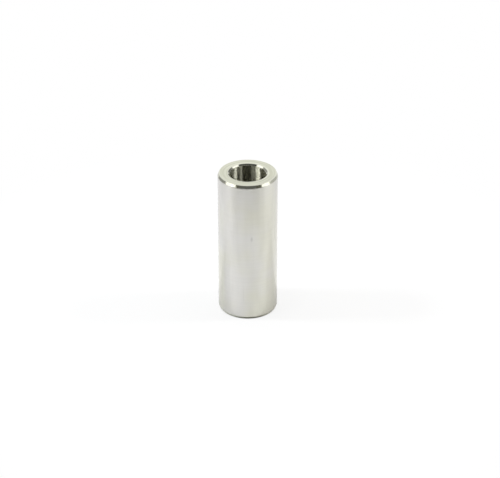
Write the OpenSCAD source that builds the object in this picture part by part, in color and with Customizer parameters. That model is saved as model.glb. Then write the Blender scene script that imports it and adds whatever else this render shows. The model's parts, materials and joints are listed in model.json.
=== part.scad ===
// Piston pin: one hollow piece of hardened steel, turned and bored from bar, then
// ground on the outside. It stands on its lower end, with the axis along Z and the
// origin at the middle of that end. All sizes are in millimetres.

/* [Pin] */
// Diameter of the ground outside
outer_d = 21; // [18:0.5:30]
// Length from end face to end face
pin_length = 53; // [30:0.5:80]

/* [Bore] */
// Diameter of the straight bore that runs through the pin
bore_d = 12.7; // [6:0.1:14]
// Width of the chamfer at each mouth of the bore, measured across the end face
mouth_width = 0.55; // [0.3:0.05:0.8]
// Depth of the same chamfer, measured along the bore
mouth_depth = 0.45; // [0.3:0.05:1]

/* [Lead-in] */
// Width of the lead-in taper at each end, measured across the end face
lead_width = 0.5; // [0.3:0.05:0.8]
// Length of the same taper, measured along the outside
lead_length = 1; // [0.6:0.05:2]

/* [Edges] */
// Radius that blends the ground outside into each lead-in taper
ground_blend = 0.8; // [0.2:0.1:1]
// Radius that breaks the edge between each lead-in taper and the end face
face_break = 0.12; // [0.05:0.01:0.15]
// Radius that breaks the edge between each end face and the mouth of the bore
mouth_break = 0.08; // [0.03:0.01:0.12]

/* [Hidden] */
outer_r = outer_d / 2;
bore_r = bore_d / 2;
face_outer_r = outer_r - lead_width;
mouth_r = bore_r + mouth_width;

// Angle at which a rounding crosses the two sides of its corner
crossing_angle = 3;
round_steps = 96;

// Unit vector from one point of the section towards another
function toward(a, b) = (b - a) / norm(b - a);

// What a rounding of radius r takes off the corner between the points a and b. The disc
// stands out past both sides by a hair, so that its edge crosses them cleanly.
module corner_waste(a, corner, b, r) {
    to_a = toward(corner, a);
    to_b = toward(corner, b);
    half_angle = acos(to_a * to_b) / 2;
    disc_depth = r * cos(crossing_angle);
    foot_a = corner + to_a * disc_depth / tan(half_angle);
    foot_b = corner + to_b * disc_depth / tan(half_angle);
    middle = (foot_a + foot_b) / 2;
    difference() {
        polygon([for (p = [foot_a, corner, foot_b]) middle + 3 * (p - middle)]);
        translate(corner + toward(corner, middle) * disc_depth / sin(half_angle))
            circle(r = r, $fn = round_steps);
    }
}

// Half section of the wall, with the radius along X and the height along Y
module wall_section() {
    bore_low = [bore_r, mouth_depth];
    mouth_low = [mouth_r, 0];
    face_low = [face_outer_r, 0];
    side_low = [outer_r, lead_length];
    side_high = [outer_r, pin_length - lead_length];
    face_high = [face_outer_r, pin_length];
    mouth_high = [mouth_r, pin_length];
    bore_high = [bore_r, pin_length - mouth_depth];
    difference() {
        polygon([
            bore_low, mouth_low, face_low, side_low,
            side_high, face_high, mouth_high, bore_high
        ]);
        corner_waste(bore_low, mouth_low, face_low, mouth_break);
        corner_waste(mouth_low, face_low, side_low, face_break);
        corner_waste(face_low, side_low, side_high, ground_blend);
        corner_waste(side_low, side_high, face_high, ground_blend);
        corner_waste(side_high, face_high, mouth_high, face_break);
        corner_waste(face_high, mouth_high, bore_high, mouth_break);
    }
}

module piston_pin() {
    color([0.62, 0.62, 0.59])
        rotate_extrude($fn = round_steps)
            wall_section();
}

piston_pin();
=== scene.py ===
import json
import math

import bpy
import numpy as np
from mathutils import Matrix, Quaternion, Vector


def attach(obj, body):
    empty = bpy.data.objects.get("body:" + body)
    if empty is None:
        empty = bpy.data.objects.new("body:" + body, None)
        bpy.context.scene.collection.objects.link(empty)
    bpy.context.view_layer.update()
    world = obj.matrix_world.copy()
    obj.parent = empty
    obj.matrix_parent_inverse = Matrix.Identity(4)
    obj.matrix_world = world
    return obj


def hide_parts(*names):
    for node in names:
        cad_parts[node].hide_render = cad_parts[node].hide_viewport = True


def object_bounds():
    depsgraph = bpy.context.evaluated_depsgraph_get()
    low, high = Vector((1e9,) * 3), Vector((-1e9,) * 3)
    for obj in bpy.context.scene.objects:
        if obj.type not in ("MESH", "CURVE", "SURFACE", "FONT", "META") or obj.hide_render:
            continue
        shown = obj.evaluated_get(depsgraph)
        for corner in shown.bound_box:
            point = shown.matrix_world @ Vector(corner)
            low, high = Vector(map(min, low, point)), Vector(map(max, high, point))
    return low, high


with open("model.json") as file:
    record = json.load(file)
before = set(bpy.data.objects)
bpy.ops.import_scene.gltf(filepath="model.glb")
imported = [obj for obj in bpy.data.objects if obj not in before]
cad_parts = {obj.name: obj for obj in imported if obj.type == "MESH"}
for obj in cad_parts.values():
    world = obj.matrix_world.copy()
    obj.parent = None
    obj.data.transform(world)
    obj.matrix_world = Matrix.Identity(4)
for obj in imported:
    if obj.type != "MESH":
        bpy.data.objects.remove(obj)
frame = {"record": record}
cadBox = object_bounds()
mounts = {m["name"]: m["dims"] for m in frame["record"]["mounts"]}
print("frame loaded, CAD box", [round(v, 4) for v in cadBox[1] - cadBox[0]])

scene = bpy.context.scene
scene.view_settings.view_transform = "Standard"
mm = 0.001


class Wire:
    # a shader socket that does arithmetic: every operator adds one Math node

    def __init__(self, tree, socket=None):
        self.tree, self.socket = tree, socket

    # any node: its type, its settings, the values or links of its sockets, the output wanted
    def node(self, kind, settings=None, sockets=None, out=0):
        made = self.tree.nodes.new(kind)
        for name, value in (settings or {}).items():
            setattr(made, name, value)
        for key, value in (sockets or {}).items():
            if isinstance(value, Wire):
                self.tree.links.new(value.socket, made.inputs[key])
            else:
                made.inputs[key].default_value = value
        return Wire(self.tree, made.outputs[out]) if len(made.outputs) else None

    def math(self, operation, *values):
        return self.node("ShaderNodeMath", {"operation": operation}, dict(enumerate(values)))

    def __add__(self, other):
        return self.math("ADD", self, other)

    def __radd__(self, other):
        return self.math("ADD", other, self)

    def __sub__(self, other):
        return self.math("SUBTRACT", self, other)

    def __rsub__(self, other):
        return self.math("SUBTRACT", other, self)

    def __mul__(self, other):
        return self.math("MULTIPLY", self, other)

    def __rmul__(self, other):
        return self.math("MULTIPLY", other, self)

    def __or__(self, other):  # the larger of two
        return self.math("MAXIMUM", self, other)

    def sine(self):
        return self.math("SINE", self)

    # up from 0 to the peak and down again, over and over
    def zigzag(self, peak):
        return self.math("PINGPONG", self, peak)

    # 0 below low, 1 above high, an S curve between them
    def ramp(self, low, high):
        return self.node(
            "ShaderNodeMapRange",
            {"interpolation_type": "SMOOTHSTEP"},
            {"Value": self, "From Min": low, "From Max": high},
        )

    # from one number to another as this value goes from 0 to 1
    def between(self, low, high):
        return low + (high - low) * self

    # from one colour to another as this value goes from 0 to 1
    def blend(self, low, high):
        ends = [c if isinstance(c, Wire) else (*c, 1) for c in (low, high)]
        mixed = {0: self, 6: ends[0], 7: ends[1]}  # the node's colour sockets, by number
        return self.node("ShaderNodeMix", {"data_type": "RGBA"}, mixed, 2)

    # one number of a place, along X, Y or Z
    def along(self, axis):
        return self.node("ShaderNodeSeparateXYZ", {}, {0: self}, axis)

    # a place's distance from the origin
    def length(self):
        return self.node("ShaderNodeVectorMath", {"operation": "LENGTH"}, {0: self}, "Value")

    # a place with its X, Y and Z each multiplied
    def scaled(self, by):
        return self.node("ShaderNodeVectorMath", {"operation": "MULTIPLY"}, {0: self, 1: by})

    # cloudy noise from 0 to 1, with patches of the given size along X, Y and Z
    def cloud(self, size, detail=2.0):
        place = self.scaled([1 / s for s in size])
        return self.node("ShaderNodeTexNoise", {}, {"Vector": place, "Scale": 1.0, "Detail": detail})


def emptyMaterial(name):
    material = bpy.data.materials.new(name)
    material.use_nodes = True
    material.node_tree.nodes.clear()
    return material, Wire(material.node_tree)


def objectPlace(wire):
    return wire.node("ShaderNodeTexCoord", out="Object")


def meshObject(name, points, faces):
    mesh = bpy.data.meshes.new(name)
    mesh.from_pydata(points, [], faces)
    mesh.update()
    made = bpy.data.objects.new(name, mesh)
    scene.collection.objects.link(made)
    return made


# camera

cameraView = {
    "imageSize": (500, 478),
    "focalPixels": 1846.0,
    "sensorWidth": 36,
    "pinCentreAt": (247.8, 239.5),  # where the middle of the pin shows, in pixels
    "elevation": 29.2,
    "distance": 0.651,
}


def addCamera():
    v = cameraView
    width, height = v["imageSize"]
    up = math.radians(v["elevation"])
    back = Vector((0, -math.cos(up), math.sin(up)))
    right, above = Vector((1, 0, 0)), Vector((0, math.sin(up), math.cos(up)))
    perPixel = v["distance"] / v["focalPixels"]
    aim = (cadBox[0] + cadBox[1]) / 2
    aim += right * (width / 2 - v["pinCentreAt"][0]) * perPixel
    aim += above * (v["pinCentreAt"][1] - height / 2) * perPixel
    data = bpy.data.cameras.new("camera")
    data.sensor_width = v["sensorWidth"]
    data.lens = v["sensorWidth"] * v["focalPixels"] / width
    camera = bpy.data.objects.new("camera", data)
    camera.location = aim + back * v["distance"]
    camera.rotation_euler = (-back).to_track_quat("-Z", "Y").to_euler()
    scene.collection.objects.link(camera)
    scene.camera = camera


addCamera()
print("camera placed")


# the pin: one turned shell

pinShell = {
    "outerR": mounts["ground_outside"]["r_mm"] * mm,
    "boreR": mounts["bore"]["r_mm"] * mm,
    "length": cadBox[1][2],
    "leadWidth": 0.5 * mm,  # the taper at each end, across the face and along the outside
    "leadLength": 1.0 * mm,
    "mouthWidth": 0.55 * mm,  # the chamfer of the bore, across the face and along the bore
    "mouthDepth": 0.45 * mm,
    "groundBlend": 0.8 * mm,  # radii of the edges, from the outside in
    "faceBreak": 0.12 * mm,
    "mouthBreak": 0.08 * mm,
    "boreBreak": 0.05 * mm,
    "turnSteps": 256,
    "arcSteps": 8,
    "sideSteps": {"mouth": 6, "face": 14, "lead": 8, "outside": 28, "bore": 28},
}


# points of an arc of radius r that rounds the corner between two straight sides:
# it starts r / tan(half the corner's angle) before the corner and ends as far after it
def roundCorner(before, corner, after, r, steps):
    toBefore = (before - corner) / np.linalg.norm(before - corner)
    toAfter = (after - corner) / np.linalg.norm(after - corner)
    half = math.acos(toBefore @ toAfter) / 2
    bisector = (toBefore + toAfter) / np.linalg.norm(toBefore + toAfter)
    centre = corner + bisector * r / math.sin(half)
    start = corner + toBefore * r / math.tan(half) - centre
    end = corner + toAfter * r / math.tan(half) - centre
    t = np.linspace(0, 1, steps + 1)[:, None]
    sweep = math.pi - 2 * half
    return centre + (start * np.sin((1 - t) * sweep) + end * np.sin(t * sweep)) / math.sin(sweep)


# points between two ends of a straight side, bunched towards both ends by a cosine
def straight(start, end, steps):
    t = (1 - np.cos(np.pi * np.arange(1, steps) / steps)) / 2
    return start + (end - start) * t[:, None]


# the wall's section as a closed line of (radius, height), and the finish of each stretch
def pinProfile():
    p = pinShell
    top = p["length"]
    faceR, mouthR = p["outerR"] - p["leadWidth"], p["boreR"] + p["mouthWidth"]
    corners = np.array([
        (p["boreR"], p["mouthDepth"]),
        (mouthR, 0),
        (faceR, 0),
        (p["outerR"], p["leadLength"]),
        (p["outerR"], top - p["leadLength"]),
        (faceR, top),
        (mouthR, top),
        (p["boreR"], top - p["mouthDepth"]),
    ])
    radii = [p["boreBreak"], p["mouthBreak"], p["faceBreak"], p["groundBlend"]]
    arcZones = ["bore", "mouth", "face", "outside"]
    radii, arcZones = radii + radii[::-1], arcZones + arcZones[::-1]
    sides = ["mouth", "face", "lead", "outside", "lead", "face", "mouth", "bore"]
    n = len(corners)
    arcs = [
        roundCorner(corners[i - 1], corners[i], corners[(i + 1) % n], radii[i], p["arcSteps"])
        for i in range(n)
    ]
    points, zones = [], []
    for i, side in enumerate(sides):
        run = straight(arcs[i][-1], arcs[(i + 1) % n][0], p["sideSteps"][side])
        points += [arcs[i], run]
        zones += [arcZones[i]] * p["arcSteps"] + [side] * (len(run) + 1)
    return np.vstack(points), zones


# every profile point turned about Z: (r cos a, r sin a, z) on a grid of points by angles
def turnProfile(profile, steps):
    a = np.arange(steps) * (2 * np.pi / steps)
    r, z = profile[:, :1], profile[:, 1:]
    grid = np.stack([r * np.cos(a), r * np.sin(a), np.repeat(z, steps, 1)], -1)
    n = len(profile)
    i, j = np.meshgrid(np.arange(n), np.arange(steps), indexing="ij")
    i2, j2 = (i + 1) % n, (j + 1) % steps
    faces = np.stack([i * steps + j, i * steps + j2, i2 * steps + j2, i2 * steps + j], -1)
    return grid.reshape(-1, 3), faces.reshape(-1, 4)


# finishes: all are bare steel and differ in how the metal was cut. A mark's size is along X, Y
# and Z, and its edge says where in its noise it starts and where it shows fully

def steelSurface(wire, colour, roughness, height, grain=0.0, oil=0.0, grazing=1.0):
    normal = wire.node("ShaderNodeBump", {}, {"Strength": 1.0, "Distance": 1.0, "Height": height})
    shader = wire.node("ShaderNodeBsdfPrincipled", {}, {
        "Base Color": colour,
        "Metallic": 1.0,
        "Roughness": roughness,
        "Normal": normal,
        "Anisotropic": grain,  # highlights stretch across the cutting marks
        "Anisotropic Rotation": 0.25,
        "Specular Tint": (grazing, grazing, grazing, 1),  # what is left of a grazing reflection
        "Coat Weight": oil,
        "Coat Roughness": 0.05,
    })
    wire.node("ShaderNodeOutputMaterial", {}, {"Surface": shader})


# 1 at one point of the outside, falling to 0 at the given distances across and along the pin
def patch(place, angle, height, size):
    turn, reach = math.radians(angle), np.array((size[0], size[0], size[1]))
    spot = np.array((pinShell["outerR"] * math.cos(turn), pinShell["outerR"] * math.sin(turn), height))
    ends = {0: place.scaled(1 / reach), 1: spot / reach}
    return 1 - place.node("ShaderNodeVectorMath", {"operation": "DISTANCE"}, ends, "Value").ramp(0, 1)


groundLook = {
    "steel": (0.708, 0.697, 0.668),
    "oilAndPaintedLight": (0.703, 0.693, 0.604),  # steel under a thin film of oil; the same tint also paints warm light on the right and a shadow's reflection low on the left
    "filmSize": (12 * mm,) * 3,
    "filmEdge": (0.3, 0.7),
    "paintedWarmRight": 16.0,  # painted warm light on the right side: how fast the film's tint grows towards the right, per metre
    # painted reflection of the floor's shadow: a warm patch low on the left of the outside, added to the
    # film's tint
    "paintedShadowReflection": {"angle": -168, "height": 8 * mm, "size": (8 * mm, 24 * mm)},
    "paintedShadowReflectionShare": 0.6,
    "oil": (0.85, 1.0),
    "roughness": (0.285, 0.335),
    "roughShares": (0.3, 0.2, 0.2, 0.3),  # of the film with its painted light, grinding lines, bands and smears
    "grain": 0.82,
    "grazing": 0.82,
    "grindSize": (9 * mm, 9 * mm, 0.12 * mm),  # lines that the wheel left round the pin
    "grindDepth": 0.0012 * mm,
    "bandSize": (25 * mm, 25 * mm, 0.42 * mm),
    "bandEdge": (0.3, 0.7),
    "bandDark": 0.022,
    "smearSize": (2.8 * mm, 2.8 * mm, 15 * mm),  # where the pin was wiped along its length
    "smearEdge": (0.3, 0.75),
    "smearDark": 0.045,
    "hairSize": (0.25 * mm, 0.25 * mm, 15 * mm),  # fine lines along it, from sliding in its bosses
    "hairEdge": (0.64, 0.72),
    "hairDark": 0.05,
    "speck": {"angle": -82.5, "height": 32.3 * mm, "size": (0.6 * mm, 1.5 * mm)},
    "speckDark": 0.17,
}


def groundSteel():
    v = groundLook
    material, wire = emptyMaterial("groundSteel")
    place = objectPlace(wire)
    # the film's tint: a real oil cloud, with painted warm light growing towards the right side
    thicknessAndPaintedLight = place.cloud(v["filmSize"]) + v["paintedWarmRight"] * place.along("X")
    # the painted shadow's reflection low on the left is added to the film's tint
    oilAndPaintedLight = (thicknessAndPaintedLight + v["paintedShadowReflectionShare"] * patch(place, **v["paintedShadowReflection"])).ramp(*v["filmEdge"])
    grind = place.cloud(v["grindSize"])
    band = place.cloud(v["bandSize"])
    smear = place.cloud(v["smearSize"], detail=1.5).ramp(*v["smearEdge"])
    hair = place.cloud(v["hairSize"]).ramp(*v["hairEdge"])
    speck = patch(place, **v["speck"])
    wiped = v["bandDark"] * band.ramp(*v["bandEdge"]) + v["smearDark"] * smear
    dark = wiped + (v["hairDark"] * hair | v["speckDark"] * speck)
    colour = dark.blend(oilAndPaintedLight.blend(v["steel"], v["oilAndPaintedLight"]), (0, 0, 0))
    shares = zip(v["roughShares"], (oilAndPaintedLight, grind, band, smear))
    roughness = sum(share * mark for share, mark in shares).between(*v["roughness"])
    lines = v["grindDepth"] * (grind + band)
    oil = oilAndPaintedLight.between(*v["oil"])
    steelSurface(wire, colour, roughness, lines, v["grain"], oil, v["grazing"])
    return material


facedLook = {
    "steel": (0.775, 0.783, 0.655),
    "valley": (0.64, 0.645, 0.52),
    "ringSize": (0.6 * mm, 14 * mm, 14 * mm),  # bands round the face; the first size is their width
    "ringEdge": (0.38, 0.62),
    "ringDepth": 0.0016 * mm,
    "feedPitch": 0.16 * mm,  # of the grooves that the turning tool left
    "feedDepth": 0.0008 * mm,
    "feedDrift": 6.0,  # how far the bands shift the grooves, in radians of the sine
    "wornAndHighlight": (0.80, 0.805, 0.70),  # along the two edges of the face: rubbed wear, with a painted highlight on it
    "wornAndHighlightWidth": 0.4 * mm,
    "oilAndPaintedShadeDark": 0.08,  # an oil film and the painted shade darken the face this much
    "filmSize": (7 * mm,) * 3,
    "filmEdge": (0.2, 0.8),
    "paintedShadeFront": 28.0,  # painted shade: how fast the face darkens towards the front and the left, per metre
    "paintedShadeLeft": 8.4,
    "roughness": (0.285, 0.36),
    "grain": 0.3,
}


# grooves round the face: the sine of the distance from the axis, which drifts with the bands
def facedSteel():
    v = facedLook
    material, wire = emptyMaterial("facedSteel")
    place = objectPlace(wire)
    x, y = place.along("X"), place.along("Y")
    radius = place.scaled((1, 1, 0)).length()
    rings = wire.node("ShaderNodeCombineXYZ", {}, {"X": radius, "Y": x, "Z": y})
    ring = rings.cloud(v["ringSize"], detail=3.0)
    feed = (radius * (2 * math.pi / v["feedPitch"]) + v["feedDrift"] * ring).sine()
    innerR = pinShell["boreR"] + pinShell["mouthWidth"]
    outerR = pinShell["outerR"] - pinShell["leadWidth"]
    # the rubbed edges, brightened further as a painted highlight
    innerEdge = 1 - radius.ramp(innerR, innerR + v["wornAndHighlightWidth"])
    outerEdge = radius.ramp(outerR - v["wornAndHighlightWidth"], outerR)
    # the oil film's cloud, with painted shade growing towards the front and the left
    thicknessAndPaintedLight = place.cloud(v["filmSize"], detail=1.0) - v["paintedShadeFront"] * y - v["paintedShadeLeft"] * x
    oilAndPaintedLight = v["oilAndPaintedShadeDark"] * thicknessAndPaintedLight.ramp(*v["filmEdge"])
    colour = ring.ramp(*v["ringEdge"]).blend(v["valley"], v["steel"])
    colour = oilAndPaintedLight.blend((innerEdge | outerEdge).blend(colour, v["wornAndHighlight"]), (0, 0, 0))
    marks = v["feedDepth"] * feed + v["ringDepth"] * ring
    steelSurface(wire, colour, ring.between(*v["roughness"]), marks, v["grain"])
    return material


taperLook = {
    "steel": (0.60, 0.60, 0.52),
    "streak": (0.54, 0.54, 0.45),
    "streakSize": (5 * mm, 5 * mm, 0.12 * mm),
    "streakEdge": (0.35, 0.7),
    "streakDepth": 0.0006 * mm,
    "roughness": (0.09, 0.17),
}


# the lead-in at each end and the mouths of the bore: a fine cut round the axis
def taperSteel(name):
    v = taperLook
    material, wire = emptyMaterial(name)
    streak = objectPlace(wire).cloud(v["streakSize"], detail=3.0)
    colour = streak.ramp(*v["streakEdge"]).blend(v["streak"], v["steel"])
    steelSurface(wire, colour, streak.between(*v["roughness"]), v["streakDepth"] * streak)
    return material


boredLook = {
    "steel": (0.64, 0.635, 0.53),
    "oiled": (0.57, 0.565, 0.455),
    "oiledSize": (4 * mm, 4 * mm, 12 * mm),
    "oiledEdge": (0.4, 0.65),
    "feedPitch": 0.16 * mm,
    "feedSlope": 0.7,  # slope of the flanks of the grooves that the boring tool left
    "feedDrift": 0.05 * mm,
    "roughness": (0.11, 0.18),
}


# grooves round the bore: a zigzag along its height, from 0 to half the pitch and back
def boredSteel():
    v = boredLook
    material, wire = emptyMaterial("boredSteel")
    place = objectPlace(wire)
    oiled = place.cloud(v["oiledSize"], detail=3.0)
    feed = (place.along("Z") + v["feedDrift"] * oiled).zigzag(v["feedPitch"] / 2)
    colour = oiled.ramp(*v["oiledEdge"]).blend(v["steel"], v["oiled"])
    steelSurface(wire, colour, oiled.between(*v["roughness"]), v["feedSlope"] * feed)
    return material


def addPin():
    profile, zones = pinProfile()
    points, faces = turnProfile(profile, pinShell["turnSteps"])
    pin = meshObject("pinShell", points, faces)
    finishes = {
        "outside": groundSteel(),
        "lead": taperSteel("leadSteel"),
        "face": facedSteel(),
        "mouth": taperSteel("mouthSteel"),
        "bore": boredSteel(),
    }
    for material in finishes.values():
        pin.data.materials.append(material)
    index = np.repeat([list(finishes).index(zone) for zone in zones], pinShell["turnSteps"])
    pin.data.polygons.foreach_set("material_index", index.astype(np.int32))
    pin.data.polygons.foreach_set("use_smooth", np.ones(len(faces), bool))
    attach(pin, "root")
    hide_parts("piston_pin")
    return pin


pin = addPin()
print("pin turned:", len(pin.data.polygons), "faces")


# stage

floorLook = {
    "radius": 3.0,
    "rimSteps": 96,
    "colour": (0.95, 0.95, 0.95),
    "nearWhite": 0.8,  # share of plain white that thins the shadow for the camera
    "near": (9.9 * mm, 10.3 * mm),  # distances from the axis over which that share comes in
    "far": (55 * mm, 130 * mm),  # and over which the floor turns plain white
}


# 1 for rays of one kind: Camera, Glossy or Transmission
def rays(wire, kind):
    return wire.node("ShaderNodeLightPath", out="Is %s Ray" % kind)


# 1 for rays from the camera, and for those that a shiny or clear surface sends on
def shownRays(wire):
    return rays(wire, "Camera") | rays(wire, "Glossy") | rays(wire, "Transmission")


def addFloor():
    v = floorLook
    a = np.arange(v["rimSteps"]) * (2 * np.pi / v["rimSteps"])
    rim = np.stack([v["radius"] * np.cos(a), v["radius"] * np.sin(a), 0 * a], -1)
    floor = meshObject("floor", rim, [list(range(v["rimSteps"]))])
    material, wire = emptyMaterial("paleFloor")
    away = objectPlace(wire).length()
    diffuse = wire.node("ShaderNodeBsdfDiffuse", {}, {"Color": (*v["colour"], 1)})
    white = wire.node("ShaderNodeEmission", {}, {"Color": (1, 1, 1, 1), "Strength": 1.0})
    near = v["nearWhite"] * away.ramp(*v["near"]) * rays(wire, "Camera")
    share = near | away.ramp(*v["far"]) * shownRays(wire)
    mixed = wire.node("ShaderNodeMixShader", {}, {"Fac": share, 1: diffuse, 2: white})
    wire.node("ShaderNodeOutputMaterial", {}, {"Surface": mixed})
    material.cycles.emission_sampling = "NONE"
    floor.data.materials.append(material)


# on a sphere of radius 1, the heights and the distances behind the pin over which the light comes in
skyLook = {
    "strength": 1.3,
    "up": (0.3, 0.9),
    "back": (-0.72, 0.1),
}


# white where it shows; for the rest a soft light from above and behind, none from the camera's side
def addWorld():
    v = skyLook
    world = bpy.data.worlds.new("studio")
    scene.world = world
    world.use_nodes = True
    world.node_tree.nodes.clear()
    wire = Wire(world.node_tree)
    way = wire.node("ShaderNodeTexCoord", out="Generated")
    above = v["strength"] * way.along("Z").ramp(*v["up"]) * way.along("Y").ramp(*v["back"])
    strength = above + (1 - above) * shownRays(wire)
    light = wire.node("ShaderNodeBackground", {}, {"Color": (1, 1, 1, 1), "Strength": strength})
    wire.node("ShaderNodeOutputWorld", {}, {"Surface": light})
    world.cycles.sampling_method = "NONE"


# panels that the steel mirrors, in two upright planes to the left and right of the pin: the
# middle (y, z), the size, a roll within the plane and the brightness
softboxes = {
    "left": {
        "x": -0.50,
        "panels": {
            "Low": {"at": (-0.23, 0.235), "size": (0.53, 0.13), "roll": 20, "level": 1.9},
            "Core": {"at": (-0.19, 0.40), "size": (0.29, 0.34), "roll": 0, "level": 3.6},
            "High": {"at": (0.09, 0.68), "size": (0.36, 0.46), "roll": 0, "level": 2.15},
        },
    },
    "right": {
        "x": 0.50,
        "panels": {
            "Low": {"at": (-0.167, 0.21), "size": (0.41, 0.13), "roll": 20, "level": 1.9},
            "Core": {"at": (-0.054, 0.36), "size": (0.18, 0.30), "roll": 0, "level": 2.7},
            "High": {"at": (0.09, 0.68), "size": (0.36, 0.46), "roll": 0, "level": 1.9},
        },
    },
}

# round lamps that light the floor: the place, the level on a white floor and the colour
floorLamps = {
    "left": {"at": (-0.45, 0.01, 0.46), "light": 0.28, "colour": (0.93, 0.97, 1.0)},
    "right": {"at": (0.44, 0.03, 0.46), "light": 0.20, "colour": (1.0, 0.98, 0.95)},
    "top": {"at": (-0.09, -0.06, 0.625), "light": 0.10, "colour": (1.0, 1.0, 1.0)},
}
lampSize = 0.10  # diameter of each


def addAreaLamp(name, shape, size, power, place, turn):
    data = bpy.data.lights.new(name, "AREA")
    data.shape = shape
    data.size, data.size_y = size
    data.energy = power
    lamp = bpy.data.objects.new(name, data)
    lamp.matrix_world = Matrix.Translation(place) @ turn.to_matrix().to_4x4()
    lamp.visible_camera = False
    scene.collection.objects.link(lamp)
    return lamp


def addSoftbox(name):
    v = softboxes[name]
    inward = Vector((-v["x"], 0, 0)).to_track_quat("-Z", "Y")
    for part, p in v["panels"].items():
        roll = Quaternion((1, 0, 0), -math.radians(p["roll"]))
        power = p["level"] * math.pi * p["size"][0] * p["size"][1]
        place = Vector((v["x"], *p["at"]))
        panel = addAreaLamp(name + part, "RECTANGLE", p["size"], power, place, roll @ inward)
        panel.visible_diffuse = False


# power from the lamp's distance and slant: level * pi squared * distance cubed / height
def addFloorLamp(name):
    v = floorLamps[name]
    at = Vector(v["at"])
    power = v["light"] * math.pi ** 2 * at.length ** 3 / at.z
    lamp = addAreaLamp(name + "Lamp", "DISK", (lampSize,) * 2, power, at, (-at).to_track_quat("-Z", "Y"))
    lamp.data.color = v["colour"]
    lamp.visible_glossy = False


# what the steel mirrors apart from the panels. Azimuths run from the camera's side to the right,
# and heights are angles above the floor
darkRoom = {
    "radius": 1.6,
    "steps": (145, 13),
    "lowest": -1,
    "highest": 89.5,
    "ceilingFrom": 34,
    "ceilingLevel": 0.012,
    "wallLevel": 0.14,
    "shade": (1.0, 0.98, 0.78),  # colour of the dark
    "openFrom": 116,  # azimuths behind the pin, where the dark gives way to the backdrop
    "openTo": 128,
    "openHeight": 88,
    "stripRadius": 1.44,
    "stripSteps": (9, 5),
    "strips": [  # azimuths, heights and brightness
        ((-53, -40), (34, 48), 0.42), ((-40, -26), (34, 48), 0.66), ((-26, -20), (34, 48), 0.16),
        ((38, 53), (34, 48), 1.4), ((-150, -120), (10, 55), 0.5), ((120, 150), (10, 55), 0.28),
        ((-34, 34), (8, 33), 0.175), ((-70, 70), (62, 86), 0.13),
    ],
    "edges": [  # of the table: azimuths, distance and brightness
        ((-180, -60), 0.42, 0.45), ((-60, 60), 0.20, 0.15), ((60, 180), 0.42, 0.75),
    ],
    "edgeSteps": 61,
    "edgeFoot": 0.01,  # where an edge starts, as a share of its height
    "edgeHeights": [  # azimuth from the camera's side, and the height as a share of the distance
        (0, 0.22), (75, 0.22), (88, 0.33), (110, 0.31), (132, 0.1), (180, 0.07),
    ],
}


# points in the given directions from the middle of the floor
def directions(azimuth, up, r):
    azimuth, up = np.broadcast_arrays(np.radians(azimuth), np.radians(up))
    return r * np.stack([
        np.cos(up) * np.sin(azimuth), -np.cos(up) * np.cos(azimuth), np.sin(up)
    ], -1)


# a curtain of even brightness that only reflections show
def addCurtain(name, grid, level, colour=(1, 1, 1)):
    rows, columns = grid.shape[:2]
    i, j = np.meshgrid(np.arange(rows - 1), np.arange(columns - 1), indexing="ij")
    a = i * columns + j
    faces = np.stack([a, a + 1, a + columns + 1, a + columns], -1).reshape(-1, 4)
    curtain = meshObject(name, grid.reshape(-1, 3), faces)
    material, wire = emptyMaterial(name)
    shade = wire.node("ShaderNodeEmission", {}, {"Color": (*colour, 1), "Strength": level})
    wire.node("ShaderNodeOutputMaterial", {}, {"Surface": shade})
    material.cycles.emission_sampling = "NONE"
    curtain.data.materials.append(material)
    curtain.visible_camera = False
    curtain.visible_diffuse = False
    curtain.visible_shadow = False


# walls and ceiling lift behind the pin, by an S curve of the azimuth, to show the white backdrop
def addRoom():
    v = darkRoom
    azimuth = np.linspace(-180, 180, v["steps"][0])[None, :]
    share = np.linspace(0, 1, v["steps"][1])[:, None]
    lift = np.clip((np.abs(azimuth) - v["openFrom"]) / (v["openTo"] - v["openFrom"]), 0, 1)
    lowEdge = v["lowest"] + v["openHeight"] * lift * lift * (3 - 2 * lift)
    seam = np.maximum(lowEdge, v["ceilingFrom"])
    wall = directions(azimuth, lowEdge + (seam - lowEdge) * share, v["radius"])
    ceiling = directions(azimuth, seam + (v["highest"] - seam) * share, v["radius"])
    addCurtain("wall", wall, v["wallLevel"], v["shade"])
    addCurtain("ceiling", ceiling, v["ceilingLevel"], v["shade"])


def addStrips():
    v = darkRoom
    columns, rows = v["stripSteps"]
    for i, (azimuths, heights, level) in enumerate(v["strips"]):
        across, up = np.linspace(*azimuths, columns)[None, :], np.linspace(*heights, rows)[:, None]
        addCurtain("strip%d" % i, directions(across, up, v["stripRadius"]), level)


# upright bands round the pin: a circle on the floor, raised by a height that varies with the azimuth
def addTableEdges():
    v = darkRoom
    for i, (azimuths, r, level) in enumerate(v["edges"]):
        across = np.linspace(*azimuths, v["edgeSteps"])[None, :]
        height = r * np.interp(np.abs(across), *np.transpose(v["edgeHeights"]))
        rise = height * np.array([[v["edgeFoot"]], [1.0]])
        addCurtain("edge%d" % i, directions(across, 0, r) + rise[..., None] * np.array([0, 0, 1]), level)


addFloor()
addWorld()
for name in softboxes:
    addSoftbox(name)
for name in floorLamps:
    addFloorLamp(name)
addRoom()
addStrips()
addTableEdges()
print("stage set")
